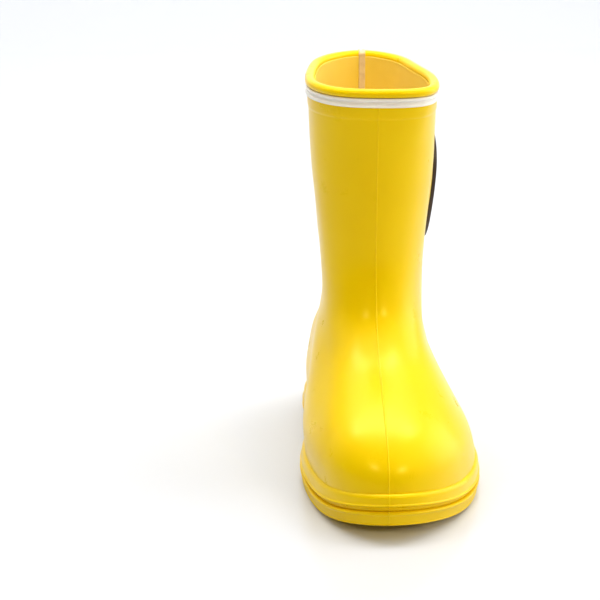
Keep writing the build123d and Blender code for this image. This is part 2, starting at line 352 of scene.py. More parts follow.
def ramp(tree, value, low, high, low_out=0.0, high_out=1.0):
    """A number moved from one range to another, smoothly at both ends."""
    node = tree.nodes.new("ShaderNodeMapRange")
    node.interpolation_type = "SMOOTHSTEP"
    tree.links.new(value, node.inputs["Value"])
    for key, number in (("From Min", low), ("From Max", high), ("To Min", low_out), ("To Max", high_out)):
        node.inputs[key].default_value = number
    return node.outputs["Result"]


def mix_colour(tree, amount, first, second):
    node = add_node(tree, "ShaderNodeMix", {"data_type": "RGBA"})
    for index, value in ((0, amount), (6, first), (7, second)):
        if isinstance(value, bpy.types.NodeSocket):
            tree.links.new(value, node.inputs[index])
        else:
            node.inputs[index].default_value = value if index == 0 else (*value, 1.0)
    return node.outputs[2]


def bump(tree, shader, height, distance, strength=1.0, below=None):
    """Fine relief. below is the output of an earlier bump to build on."""
    node = add_node(tree, "ShaderNodeBump", Height=height, Distance=distance, Strength=strength)
    if below is not None:
        tree.links.new(below, node.inputs["Normal"])
    tree.links.new(node.outputs["Normal"], shader.inputs["Normal"])
    return node.outputs["Normal"]


def yellow_rubber(name, base, deep, roughness, grain):
    """Moulded rubber: faint flow marks in the colour, a slightly uneven gloss and a very fine skin."""
    material, tree, shader = new_material(name)
    where = place(tree)
    flow = noise(tree, where, 26.0, 1.0, 0.4)
    patches = noise(tree, where, 95.0, 1.0, 0.4)
    specks = noise(tree, where, 1400.0, 1.0)
    tone = mix_colour(tree, ramp(tree, flow, 0.35, 0.7), base, deep)
    tree.links.new(tone, shader.inputs["Base Color"])
    spread = ramp(tree, patches, 0.2, 0.8, roughness - 0.012, roughness + 0.018)
    tree.links.new(math_node(tree, "ADD", spread, math_node(tree, "MULTIPLY", specks, 0.01)),
                   shader.inputs["Roughness"])
    shader.inputs["Specular IOR Level"].default_value = 0.45
    shader.inputs["Specular Tint"].default_value = (1.0, 0.84, 0.12, 1.0)
    shader.inputs["Subsurface Weight"].default_value = 0.12
    shader.inputs["Subsurface Radius"].default_value = (1.0, 0.55, 0.02)
    shader.inputs["Subsurface Scale"].default_value = 0.0022
    shader.inputs["Coat Weight"].default_value = 0.07
    shader.inputs["Coat Roughness"].default_value = 0.2
    soft = bump(tree, shader, flow, 0.00006, 0.2)
    bump(tree, shader, noise(tree, where, grain, 1.0), 0.00001, 0.3, below=soft)
    return material


def white_rubber():
    material, tree, shader = new_material("white_rubber")
    where = place(tree)
    clouds = noise(tree, where, 60.0, 3.0)
    tone = mix_colour(tree, ramp(tree, clouds, 0.35, 0.7), (0.92, 0.90, 0.86), (0.87, 0.85, 0.81))
    tree.links.new(tone, shader.inputs["Base Color"])
    tree.links.new(ramp(tree, clouds, 0.3, 0.7, 0.38, 0.5), shader.inputs["Roughness"])
    shader.inputs["Subsurface Weight"].default_value = 0.08
    shader.inputs["Subsurface Scale"].default_value = 0.001
    bump(tree, shader, noise(tree, where, 1500.0, 2.0), 0.00003, 0.4)
    return material


def knit_cloth():
    """Fine jersey: wales up the leg, a row of loops about every half millimetre, painted shade between the
    loops.
    """
    material, tree, shader = new_material("yellow_knit")
    lay = add_node(tree, "ShaderNodeAttribute", {"attribute_name": "knit_place"}).outputs["Vector"]
    split = add_node(tree, "ShaderNodeSeparateXYZ", Vector=lay)
    around, up = split.outputs["X"], split.outputs["Y"]
    wale = math_node(tree, "SINE", math_node(tree, "MULTIPLY", around, 2 * math.pi / knit_wale))
    lean = math_node(tree, "MULTIPLY", math_node(tree, "ABSOLUTE", wale), 0.55)
    row = math_node(tree, "SINE", math_node(tree, "MULTIPLY", math_node(tree, "ADD", up, lean),
                                            2 * math.pi / knit_row))
    wale_part = math_node(tree, "MULTIPLY", wale, 0.6)
    row_part = math_node(tree, "MULTIPLY", row, 0.4)
    loops = math_node(tree, "ADD", wale_part, row_part)
    object_place = place(tree)
    fuzz = noise(tree, object_place, 2600.0, 2.0, 0.7)
    clouds = noise(tree, object_place, 45.0, 3.0)
    # Painted shade: the colour darkens where the loops' relief is low, in the hollows between the loops.
    tone = mix_colour(tree, ramp(tree, loops, -1.0, 0.8), (0.92, 0.62, 0.05), (0.98, 0.74, 0.10))
    tone = mix_colour(tree, ramp(tree, clouds, 0.3, 0.75, 0.0, 0.35), tone, (0.99, 0.78, 0.16))
    tree.links.new(tone, shader.inputs["Base Color"])
    shader.inputs["Roughness"].default_value = 0.92
    shader.inputs["Sheen Weight"].default_value = 0.2
    shader.inputs["Sheen Roughness"].default_value = 0.45
    shader.inputs["Sheen Tint"].default_value = (1.0, 0.80, 0.35, 1.0)
    knit = bump(tree, shader, loops, 0.00012, 0.5)
    bump(tree, shader, fuzz, 0.00008, 0.5, below=knit)
    return material


def woven_tape():
    """Cream cotton: fibres and faint clouds. The herringbone is in the tape's own mesh."""
    material, tree, shader = new_material("cotton_tape")
    where = place(tree)
    fibre = noise(tree, where, 3800.0, 2.0, 0.7)
    clouds = noise(tree, where, 300.0, 3.0)
    tone = mix_colour(tree, ramp(tree, clouds, 0.3, 0.7), (0.78, 0.62, 0.36), (0.68, 0.50, 0.27))
    tone = mix_colour(tree, ramp(tree, fibre, 0.35, 0.7, 0.0, 0.5), tone, (0.84, 0.70, 0.46))
    tree.links.new(tone, shader.inputs["Base Color"])
    shader.inputs["Roughness"].default_value = 0.9
    shader.inputs["Sheen Weight"].default_value = 0.25
    bump(tree, shader, fibre, 0.0001, 0.6)
    return material


def cloth(name, light, dark, thread_mm):
    """Plain woven or felted cloth for flat pieces, with painted shade where the threads dip."""
    material, tree, shader = new_material(name)
    where = place(tree)
    split = add_node(tree, "ShaderNodeSeparateXYZ", Vector=where)
    turn = 2 * math.pi / (thread_mm * MM)
    across = math_node(tree, "SINE", math_node(tree, "MULTIPLY", split.outputs["X"], turn))
    along = math_node(tree, "SINE", math_node(tree, "MULTIPLY", split.outputs["Y"], turn))
    weave = math_node(tree, "MULTIPLY", across, along)
    clouds = noise(tree, where, 70.0, 3.0)
    # Painted shade: the colour darkens where the weave's relief is low, where the threads dip.
    tone = mix_colour(tree, ramp(tree, weave, -0.8, 0.8), dark, light)
    tone = mix_colour(tree, ramp(tree, clouds, 0.35, 0.75, 0.0, 0.3), tone, dark)
    tree.links.new(tone, shader.inputs["Base Color"])
    shader.inputs["Roughness"].default_value = 0.9
    shader.inputs["Sheen Weight"].default_value = 0.2
    woven = bump(tree, shader, weave, 0.00015, 0.5)
    bump(tree, shader, noise(tree, where, 3000.0, 2.0), 0.00006, 0.5, below=woven)
    return material


def foam(name, light, dark, cell_mm):
    """Foam or sponge rubber with open cells on its skin, and painted shade inside the cells."""
    material, tree, shader = new_material(name)
    where = place(tree)
    voronoi = add_node(tree, "ShaderNodeTexVoronoi", Vector=where, Scale=1 / (cell_mm * MM))
    cells = voronoi.outputs["Distance"]
    # Painted shade: the colour darkens toward the middle of each cell, where the relief has its pits.
    tone = mix_colour(tree, ramp(tree, cells, 0.0, 0.55), dark, light)
    tree.links.new(tone, shader.inputs["Base Color"])
    shader.inputs["Roughness"].default_value = 0.85
    bump(tree, shader, cells, 0.00025, 0.5)
    return material


def matte_plastic(name, light, dark, roughness):
    """Moulded badge plastic with a fine spark-eroded grain."""
    material, tree, shader = new_material(name)
    where = place(tree)
    grain = noise(tree, where, 2200.0, 2.0, 0.6)
    clouds = noise(tree, where, 150.0, 3.0)
    tone = mix_colour(tree, ramp(tree, clouds, 0.3, 0.7), light, dark)
    tree.links.new(tone, shader.inputs["Base Color"])
    gloss = ramp(tree, grain, 0.3, 0.7, roughness - 0.05, roughness + 0.08)
    tree.links.new(gloss, shader.inputs["Roughness"])
    bump(tree, shader, grain, 0.00004, 0.6)
    return material


BRIGHT_YELLOW = (0.88, 0.61, 0.0)
DEEP_YELLOW = (0.85, 0.58, 0.0)
upper_rubber = yellow_rubber("yellow_rubber", BRIGHT_YELLOW, DEEP_YELLOW, 0.28, 1700.0)
sole_rubber = yellow_rubber("yellow_sole_rubber", DEEP_YELLOW, (0.82, 0.555, 0.0), 0.42, 1300.0)
trim_rubber = white_rubber()
lining_knit = knit_cloth()
tape_cloth = woven_tape()
board_cloth = cloth("lining_board", (0.72, 0.62, 0.46), (0.58, 0.49, 0.35), 0.9)
stiff_cloth = cloth("stiffener_board", (0.62, 0.53, 0.38), (0.50, 0.42, 0.29), 0.7)
insole_cloth = cloth("insole_cloth", (0.90, 0.72, 0.30), (0.74, 0.55, 0.19), 0.8)
insole_foam = foam("insole_foam", (0.82, 0.81, 0.78), (0.62, 0.61, 0.58), 0.7)
sponge = foam("sponge_rubber", (0.30, 0.28, 0.25), (0.13, 0.12, 0.11), 1.1)
badge_dark = matte_plastic("dark_badge", (0.045, 0.026, 0.018), (0.030, 0.017, 0.012), 0.45)
badge_grey = matte_plastic("grey_badge", (0.42, 0.40, 0.40), (0.34, 0.32, 0.33), 0.42)


# ---------------------------------------------------------------- upper
def boss_height(points):
    """Height of the moulded seat under the badge."""
    wide = badge_half_wide + boss_margin
    high = badge_half_high + boss_margin
    out = np.hypot((points[..., 1] - badge_centre[1]) / wide, (points[..., 2] - badge_centre[2]) / high)
    edge = 1.4 / wide
    outer_side = points[..., 0] > parting_x + 8
    return boss_proud * (1 - smooth_step(out, 1 - edge, 1 + edge * 0.4)) * outer_side


def upper_relief(points):
    """Everything that stands out of the plain form of the upper."""
    z = points[..., 2]
    cuff = cuff_proud * smooth_step(z, cuff_low - 0.5, cuff_low + 0.7)
    cuff = cuff * (1 - smooth_step(z, trim_low, trim_low + 0.6))
    seam = 0.24 * near_parting(points, 0.30)
    waves = 0.10 * unevenness(points, 17.0) * (1 - smooth_step(z, trim_low - 2, trim_low))
    under_groove = 0.5 * smooth_step(z, trim_low + 0.4, trim_low + 1.3)
    return cuff + boss_height(points) + seam + waves - under_groove


def build_upper():
    bottom = sole_level(base_y, outsole_thick + 0.3)
    level_from = 26.0
    share = np.linspace(0, 1, 34)[:, None]
    foot_rows = bottom + (level_from - bottom) * share
    spans = ((level_from, 62, 88), (62, 98, 44), (98, 157, 112), (157, 164.5, 9), (164.5, 168.5, 16),
             (168.5, wall_top, 14))
    level_rows = [rows_between(low, high, count + 1)[1:] for low, high, count in spans]
    outside_z = np.vstack([foot_rows] + level_rows)
    plain, _ = form.at(outside_z)
    outside = form.skin(outside_z, upper_relief(plain))
    inside_z = np.vstack([rows_between(wall_top, level_from, 46),
                          (bottom + (level_from - bottom) * np.linspace(1, 0, 10)[:, None])[1:]])
    pocket = 0.7 * (1 - smooth_step(inside_z, 56, 64))
    inside = form.skin(inside_z, pocket - wall)
    piece = closed_skin("upper_shell_moulding", np.concatenate([outside, inside]), "boot",
                        upper_rubber)
    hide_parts("upper_shell")


def flat_directions(height):
    """Points of one level section and its outward directions, both level."""
    point, normal = form.at(np.full((1, COLUMNS), float(height)))
    flat = normal[0].copy()
    flat[:, 2] = 0
    return point[0], flat / np.linalg.norm(flat, axis=1, keepdims=True)


def build_roll():
    """Rolled edging: a bead around the mouth, round above and flatter below."""
    centre_z = wall_top + roll_radius
    point, out = flat_directions(centre_z)
    rings = []
    for angle in np.linspace(0, 2 * math.pi, 28, endpoint=False):
        swell = roll_radius * (1 + 0.012 * np.sin(point[:, 1] * 0.31 + point[:, 0] * 0.23))
        side = roll_proud - roll_radius + swell * math.cos(angle)
        ring = point + out * side[:, None]
        ring[:, 2] = centre_z + roll_radius * math.sin(angle) * (1 if angle < math.pi else 0.74)
        rings.append(ring)
    piece = closed_skin("top_roll_bead", rings, "boot", upper_rubber)
    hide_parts("top_roll")


def build_trim():
    """White trim: a bead, a groove and a narrow ridge under the roll.

    The outline of its section is given as (outward, height above its lower edge).
    """
    outline = ((-0.70, 0.00), (0.62, 0.00), (0.88, 0.10), (1.02, 0.30), (1.08, 0.60), (1.07, 0.92),
               (0.97, 1.20), (0.74, 1.42), (0.38, 1.54), (0.06, 1.62), (-0.14, 1.78), (-0.20, 2.05),
               (-0.16, 2.36), (0.04, 2.56), (0.30, 2.68), (0.54, 2.80), (0.70, 3.02), (0.74, 3.30),
               (0.72, 3.70), (0.62, 4.00), (0.40, 4.10), (-0.70, 4.12))
    rings = []
    for outward, above in outline:
        z = np.full((1, COLUMNS), trim_low + above)
        plain, _ = form.at(z)
        seam = 0.16 * near_parting(plain, 0.35) * (outward > 0.1)
        rings.append(form.skin(z, outward + seam)[0])
    piece = closed_skin("white_trim_band", rings, "boot", trim_rubber)
    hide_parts("white_trim")


# ---------------------------------------------------------------- sole
def sole_rings(profile, relief):
    """Rings around the sole for a section given as (outward, level above the underside)."""
    point, out = flat_directions(sole_height)
    rings = []
    for outward, level in profile:
        shift = sole_proud + outward + relief(point, outward, level)
        ring = point + out * shift[:, None]
        flatter = smooth_step(level, 9.6, foxing_top - 1.0)
        ring[:, 2] = (sole_level(ring[:, 1], level) * (1 - flatter)
                      + sole_level(ring[:, 1], level, foxing_radius) * flatter)
        rings.append(ring)
    return rings


def build_foxing():
    """Foxing band: a lip over the groove, a leaning face and a rounded upper ledge."""
    profile = ((-2.7, 6.47), (-1.25, 6.47), (-1.12, 6.6), (-1.15, 7.0), (-1.15, 7.6), (-1.05, 8.05),
               (-0.75, 8.28), (-0.25, 8.34), (0.14, 8.40), (0.38, 8.50), (0.53, 8.68), (0.56, 8.90),
               (0.46, 9.12), (0.24, 9.30), (0.05, 9.46), (-0.04, 9.8), (-0.12, 11.2), (-0.24, 12.8),
               (-0.34, 13.6), (-0.50, 14.1), (-0.72, 14.5), (-1.02, 14.86), (-1.36, 15.13),
               (-1.70, 15.32), (-2.05, 15.40), (-2.7, 15.40))

    def relief(point, outward, level):
        visible = 1.0 if outward > -1.6 else 0.0
        return visible * (0.20 * near_parting(point, 0.32) + 0.06 * unevenness(point, 9.0))

    piece = closed_skin("foxing_band_moulding", sole_rings(profile, relief), "boot",
                        upper_rubber)
    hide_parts("foxing_band")


class SoleGrid:
    """A grid across the sole's outline. Rows run from the inner side to the outer side."""

    def __init__(self, grow, margin, rows=120, extra_y=()):
        point, out = flat_directions(sole_height)
        line = point + out * grow
        inside = point + out * (grow - margin)
        first = int(np.argmin(line[:, 1]))
        line, inside = np.roll(line, -first, axis=0), np.roll(inside, -first, axis=0)
        last = int(np.argmax(line[:, 1]))
        self.front, self.back = line[0, :2], line[last, :2]
        self.y = self.row_places(rows, np.asarray(extra_y, dtype=float))
        low, high = self.sides(line, last)
        self.low, self.high = low, high
        start, end = self.sides(inside, last)
        middle = (low + high) / 2
        start = np.clip(start, low, middle - 0.12 * (high - low))
        end = np.clip(end, middle + 0.12 * (high - low), high)
        lead = np.array((0.0, 0.12, 0.28, 0.5, 0.72, 0.9))
        core = np.linspace(0, 1, 30)
        self.start, self.end = start, end
        self.x = np.column_stack([low[:, None] + (start - groove_end - low)[:, None] * lead,
                                  start - groove_end, start + groove_end,
                                  start[:, None] + (end - start)[:, None] * core[1:-1],
                                  end - groove_end, end + groove_end,
                                  high[:, None] - (high - end - groove_end)[:, None] * lead[::-1]])

    def row_places(self, rows, extra_y):
        """Places of the rows along Y, close together toward both ends."""
        share = np.linspace(0, 1, rows + 2)[1:-1]
        plain = self.front[1] + (self.back[1] - self.front[1]) * (1 - np.cos(math.pi * share)) / 2
        if len(extra_y):
            apart = np.abs(plain[:, None] - extra_y).min(axis=1)
            plain = np.concatenate([plain[apart > 0.16], extra_y])
        return np.sort(plain)

    def sides(self, line, last):
        """Where a closed outline meets each row: x on the inner side and on the outer side."""
        outer = line[:last + 1]
        inner = np.vstack([line[last:], line[:1]])[::-1]
        return (np.interp(self.y, inner[:, 1], inner[:, 0]), np.interp(self.y, outer[:, 1], outer[:, 0]))

    def layer(self, height):
        """Vertices of one layer. height gives z for arrays of x and y."""
        y = np.repeat(self.y[:, None], self.x.shape[1], axis=1)
        flat = np.vstack([self.front, np.column_stack([self.x.ravel(), y.ravel()]), self.back])
        return np.column_stack([flat, height(flat[:, 0], flat[:, 1])])

    def faces(self, first, upward):
        """Faces of a layer whose vertices start at this index."""
        rows, size = self.x.shape
        quads = ring_faces(rows, size, wrap_rings=False, wrap_columns=False) + 1
        column = np.arange(size - 1)
        end = rows * size + 1
        front_fan = [(0, c + 2, c + 1) for c in column]
        back_fan = [(end - size + c, end - size + c + 1, end) for c in column]
        every = quads.tolist() + [list(face) for face in front_fan + back_fan]
        return [[first + i for i in (face if upward else face[::-1])] for face in every]

    def border(self):
        """Indices of a layer's outline, from the toe along the outer side, seen as a ring."""
        rows, size = self.x.shape
        outer = [1 + r * size + size - 1 for r in range(rows)]
        inner = [1 + r * size for r in range(rows)][::-1]
        return np.array([0] + outer + [rows * size + 1] + inner)


def slab(name, grid, low_z, high_z, side, body, material, sharp=35.0, relief=None):
    """A closed slab on a sole grid. side lists rings between its faces as (outward, share of height)."""
    low, high = grid.layer(low_z), grid.layer(high_z)
    border = grid.border()
    bottom, top = low[border], high[border]
    tangent = np.roll(bottom[:, :2], -1, axis=0) - np.roll(bottom[:, :2], 1, axis=0)
    out = np.column_stack([tangent[:, 1], -tangent[:, 0], np.zeros(len(border))])
    out /= np.linalg.norm(out, axis=1, keepdims=True)
    rings = [bottom + (top - bottom) * share + out * outward for outward, share in side]
    if relief:
        rings = [ring + out * relief(ring, share)[:, None] for ring, (_, share) in zip(rings, side)]
    size, count = len(border), len(low)
    points = np.vstack([low] + rings + [high])
    starts = [count + i * size + np.arange(size) for i in range(len(rings))]
    loops = [border] + starts + [count + len(rings) * size + border]
    faces = grid.faces(0, upward=False) + grid.faces(count + len(rings) * size, upward=True)
    for lower, upper in zip(loops[:-1], loops[1:]):
        faces += np.column_stack([lower, np.roll(lower, -1), np.roll(upper, -1), upper]).tolist()
    piece = make_mesh(name, points, faces, body, material)
    piece.data.set_sharp_from_angle(angle=math.radians(sharp))
    return piece


def tread_centres():
    """Centre lines of the cross grooves under the forefoot and under the heel."""
    return np.concatenate([-46 + tread_pitch * np.arange(-4, 5), 65 + tread_pitch * np.arange(-2, 3)])


def build_outsole():
    """Outsole: cross grooves, a hollow waist, a side with a flash line and a bead below the groove."""
    half = tread_width / 2
    centres = tread_centres()
    shifts = (-half - groove_flare_out, -half + groove_flare_in,
              half - groove_flare_in, half + groove_flare_out)
    edges = np.concatenate([centres + shift for shift in shifts])
    breast = (arch_back - 2.6, arch_back - 2.0, arch_back - 1.0, arch_back, arch_back + 0.4)
    inset = 1.35
    extra_y = np.concatenate([edges, breast])
    grid = SoleGrid(sole_proud - inset, tread_margin - inset, rows=150, extra_y=extra_y)

    def arch(y):
        share = np.clip((y - arch_front) / (arch_back - 2 - arch_front), 0, 1)
        rising = arch_high * share ** 2 * (3 - 2 * share)
        falling = arch_high * (1 - smooth_step(y, arch_back - 2, arch_back))
        return np.where(y < arch_front, 0, np.where(y < arch_back - 2, rising, falling))

    def underside(x, y):
        across = np.abs(y[:, None] - centres).min(axis=1)
        cut = 1 - smooth_step(across, half - groove_flare_in, half + groove_flare_out)
        start, end = np.interp(y, grid.y, grid.start), np.interp(y, grid.y, grid.end)
        inside = smooth_step(x, start - groove_end, start + groove_end)
        inside = inside * (1 - smooth_step(x, end - groove_end, end + groove_end))
        return sole_level(y, arch(y) + tread_deep * cut * inside)

    def upside(x, y):
        return sole_level(y, outsole_thick)

    def relief(points, share):
        """Slight unevenness of the side, but not of the edge on the ground."""
        return 0.05 * unevenness(points, 9.0) * smooth_step(share, 0.02, 0.06)

    side = [(0.28, 0.004), (0.50, 0.022), (0.62, 0.045), (0.80, 0.062), (0.92, 0.078), (0.92, 0.098),
            (0.76, 0.118), (0.66, 0.145), (0.68, 0.20), (0.82, 0.38), (0.96, 0.56), (1.10, 0.68),
            (1.24, 0.735), (1.48, 0.77), (1.74, 0.805), (1.92, 0.845), (1.98, 0.89), (1.92, 0.935),
            (1.72, 0.968), (1.42, 0.988), (1.0, 1.0), (0.6, 1.0)]
    piece = slab("outsole_moulding", grid, underside, upside, side, "boot",
                 sole_rubber, relief=relief)
    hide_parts("outsole")
    build_outsole_ridges(side, inset)


def build_outsole_ridges(side, inset):
    """The mould's parting ridge on the outsole, at the toe and at the heel."""
    point, out = flat_directions(sole_height)
    section = [(-0.42, -0.25), (-0.26, 0.10), (-0.10, 0.26),
               (0.10, 0.26), (0.26, 0.10), (0.42, -0.25)]
    for name, column in (("toe", 0), ("heel", COLUMNS // 2)):
        rings = []
        for outward, share in side[4:-2]:
            base = point[column] + out[column] * (sole_proud - inset + outward)
            base[2] = sole_level(base[1], outsole_thick * share)
            across = np.array((-out[column][1], out[column][0], 0))
            rings.append([base + across * a + out[column] * o for a, o in section])
        tube("outsole_ridge_" + name, rings, "boot", sole_rubber)


# ---------------------------------------------------------------- lining, tape, insole
def lining_lip():
    """The lining's top edge, which follows the roll's underside and ends on its inner side."""
    centre = roll_proud - roll_radius
    under_roll = [(wall_top + roll_radius * (1 - math.cos(a)), centre - roll_radius * math.sin(a) - 0.03)
                  for a in np.radians((44, 52, 60, 68, 76))]
    inner = -wall - glue - lining_thick
    top = under_roll[-1][0]
    return under_roll + [(top + 0.05, inner + 0.02), (top - 0.25, inner - 0.05), (top - 0.8, inner - 0.04)]


def build_lining():
    """Knit lining bonded inside the rubber, with the slight waves of cloth on a mould."""
    bottom = sole_level(base_y, lining_floor)
    level_from = 24.0
    foot = bottom + (level_from - bottom) * np.linspace(0, 1, 12)[:, None]
    outside_z = np.vstack([foot, rows_between(level_from, wall_top, 60)[1:]])
    inside_z = np.vstack([rows_between(wall_top, level_from, 190), foot[::-1][1:]])
    plain, _ = form.at(inside_z)
    waves = 0.10 * unevenness(plain, 11.0) + 0.05 * unevenness(plain, 5.0)
    waves *= smooth_step(wall_top - inside_z, 0.0, 6.0)
    lip = [form.skin(rows_between(z, z, 1), grow) for z, grow in lining_lip()]
    rings = np.concatenate([form.skin(outside_z, -wall - glue)] + lip
                           + [form.skin(inside_z, -wall - glue - lining_thick + waves)])
    piece = closed_skin("lining_sock_knit", rings, "boot", lining_knit)
    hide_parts("lining_sock")
    middle = form.skin(rows_between(100, 100, 1), -wall)[0]
    around = np.concatenate([[0], np.cumsum(np.linalg.norm(np.diff(middle, axis=0), axis=1))])
    around *= knit_wale * round(around[-1] / knit_wale) / around[-1]
    lay = np.zeros((rings.shape[0], COLUMNS, 3))
    lay[..., 0] = around
    lay[..., 1] = rings[..., 2]
    places = piece.data.attributes.new("knit_place", "FLOAT_VECTOR", "POINT")
    places.data.foreach_set("vector", lay.ravel())


def back_line(heights, grow):
    """(y, z) along the middle of the boot's back."""
    points = form.skin(np.repeat(np.asarray(heights, dtype=float)[:, None], COLUMNS, axis=1), grow)
    return points[:, COLUMNS // 2, 1:]


def build_tape():
    """Seam tape: up the inside of the heel, over the roll, with a herringbone weave in relief."""
    inner_side = back_line(np.arange(9.6, wall_top - 2.4, 0.22), -wall - glue - lining_thick - tape_gap)
    centre_z = wall_top + roll_radius
    point, out = flat_directions(centre_z)
    centre_y = point[COLUMNS // 2, 1] + (roll_proud - roll_radius)
    angles = np.linspace(0.0, math.pi * 0.97, 46)
    near = roll_radius + tape_gap
    turn = np.column_stack([centre_y - near * np.cos(angles), centre_z + near * np.sin(angles)])
    join = np.linspace(0, 1, 14)[1:-1, None]
    ease = join * join * (3 - 2 * join)
    link = np.column_stack([inner_side[-1, :1] + (turn[0, :1] - inner_side[-1, :1]) * ease,
                            inner_side[-1, 1:] + (turn[0, 1:] - inner_side[-1, 1:]) * join])
    line = np.vstack([inner_side, link, turn])
    ahead = np.gradient(line, axis=0)
    ahead /= np.linalg.norm(ahead, axis=1, keepdims=True)
    lift = np.column_stack([-ahead[:, 1], ahead[:, 0]])
    run = np.concatenate([[0], np.cumsum(np.linalg.norm(np.diff(line, axis=0), axis=1))])
    half = tape_width / 2
    across = np.linspace(-half, half, tape_columns)
    rings = []
    for (y, z), (ly, lz), s in zip(line, lift, run):
        weave = np.sin(2 * math.pi * (s / 0.9 + np.abs(across) / 0.8))
        weave += 0.35 * np.sin(2 * math.pi * (s / 0.45 - across / 0.4))
        edge = np.clip((half - np.abs(across)) / 0.3, 0, 1)
        height = tape_thick * (0.55 + 0.45 * np.sqrt(edge)) - 0.07 + 0.045 * weave * edge
        face = np.column_stack([parting_x + across, y + ly * height, z + lz * height])
        back = np.column_stack([parting_x + across[::-1], np.full(tape_columns, y),
                                np.full(tape_columns, z)])
        rings.append(np.vstack([face, back]))
    piece = tube("back_seam_tape_weave", rings, "boot", tape_cloth)
    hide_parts("back_seam_tape")


def build_insole():
    """Removable insole: a foam bed with a soft edge, and its cloth top in one shape with it."""
    grow = -wall - glue - lining_thick - insole_side_gap
    grid = SoleGrid(grow - 0.7, 5.0, rows=110)

    def crown(x, y):
        """How far the top swells between its edges."""
        low, high = np.interp(y, grid.y, grid.low), np.interp(y, grid.y, grid.high)
        share = np.clip((x - low) / np.maximum(high - low, 0.01), 0, 1)
        ends = np.clip((y - grid.y[0]) / 14, 0, 1) * np.clip((grid.y[-1] - y) / 14, 0, 1)
        return np.sqrt(4 * share * (1 - share)) * np.sqrt(ends)

    def foam_low_z(x, y):
        return sole_level(y, foam_low)

    def foam_top_z(x, y):
        return sole_level(y, foam_top) - 0.12 * (1 - crown(x, y))

    def cover_low_z(x, y):
        return foam_top_z(x, y) + 0.02

    def cover_top_z(x, y):
        dimples = np.sin(x * 2 * math.pi / 4.2) * np.sin(y * 2 * math.pi / 4.2)
        return sole_level(y, cover_top) - 0.30 * (1 - crown(x, y)) - 0.05 * (dimples > 0.5) * crown(x, y)

    side = [(0.25, 0.02), (0.50, 0.10), (0.65, 0.28), (0.70, 0.5), (0.66, 0.72), (0.55, 0.9), (0.3, 0.99)]
    base = slab("insole_foam_bed", grid, foam_low_z, foam_top_z, side, "insole", insole_foam)
    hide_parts("insole_foam")
    side = [(0.35, 0.03), (0.58, 0.2), (0.66, 0.5), (0.58, 0.8), (0.32, 0.97)]
    top = slab("insole_cloth_top", grid, cover_low_z, cover_top_z, side, "insole",
               insole_cloth)
    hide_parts("insole_cover")


# ---------------------------------------------------------------- badge
def on_outer_side(y, z, grow):
    """Points at these y and z on the boot's outer side, moved off the surface by grow."""
    point, normal = form.at(np.repeat(z[:, None], COLUMNS, axis=1))
    half = COLUMNS // 2
    result = np.empty((len(y), 3))
    for i in range(len(y)):
        along = point[i, :half, 1]
        foot = np.array((np.interp(y[i], along, point[i, :half, 0]), y[i], z[i]))
        out = np.array([np.interp(y[i], along, normal[i, :half, k]) for k in range(3)])
        result[i] = foot + out / np.linalg.norm(out) * grow[i]
    return result


def relief_plate(name, outline, profile, seat, material):
    """A closed plate on the outer side. profile lists rings as (share of the outline, height)."""
    centre = outline.mean(axis=0)
    size = len(outline)
    shares = [share for share, _ in profile]
    rings = [centre + (outline - centre) * share for share in shares]
    flat = np.vstack([centre] + rings + [centre])
    heights = np.concatenate([[0.0]] + [np.full(size, h) for _, h in profile] + [[profile[-1][1]]])
    points = on_outer_side(flat[:, 0], flat[:, 1], seat + heights)
    faces = (ring_faces(len(rings), size, wrap_rings=False) + 1).tolist()
    last = 1 + (len(rings) - 1) * size
    faces += [[0, 1 + (i + 1) % size, 1 + i] for i in range(size)]
    faces += [[last + size, last + i, last + (i + 1) % size] for i in range(size)]
    piece = make_mesh(name, points, faces, "boot", material)
    piece.data.set_sharp_from_angle(angle=math.radians(50))
    return piece


def build_badge():
    """Oval badge with a fine raised rim, and a plain raindrop in relief on it."""
    turn = np.linspace(0, 2 * math.pi, 120, endpoint=False)
    oval = np.column_stack([badge_centre[1] + badge_half_wide * np.cos(turn),
                            badge_centre[2] + badge_half_high * np.sin(turn)])
    t = badge_thick
    profile = [(0.30, 0), (0.6, 0), (0.9, 0), (0.995, 0.0), (1.0, 0.08), (1.0, t - 0.30),
               (0.996, t - 0.12), (0.988, t - 0.02), (0.978, t), (0.958, t), (0.950, t - 0.04),
               (0.944, t - 0.14), (0.940, t - 0.20), (0.932, t - 0.22), (0.90, t - 0.20),
               (0.8, t - 0.14), (0.65, t - 0.07), (0.5, t - 0.02), (0.35, t), (0.2, t), (0.08, t)]
    plate = relief_plate("badge_oval", oval, profile, boss_proud + glue, badge_dark)
    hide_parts("badge_plate")
    half_high = (drop_high[2] - drop_low[2]) / 2
    half_wide = (drop_high[1] - drop_low[1]) / 2
    turn = np.linspace(0, 2 * math.pi, 96, endpoint=False)
    swell = np.sin(turn) * np.abs(np.sin(turn / 2)) ** 1.2
    drop = np.column_stack([(drop_low[1] + drop_high[1]) / 2 - half_wide * swell / np.abs(swell).max(),
                            (drop_low[2] + drop_high[2]) / 2 + half_high * np.cos(turn)])
    d = drop_thick
    profile = [(0.5, 0), (0.97, 0), (1.0, 0.04), (1.0, d * 0.45), (0.975, d * 0.62), (0.93, d * 0.74),
               (0.85, d * 0.84), (0.7, d * 0.93), (0.5, d * 0.98), (0.25, d), (0.1, d)]
    seat = boss_proud + glue + badge_thick
    piece = relief_plate("badge_raindrop", drop, profile, seat, badge_grey)
    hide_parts("badge_drop")


def dress(node, material):
    """A CAD node kept as it is, with a better material."""
    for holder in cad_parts[node].material_slots:
        holder.material = material


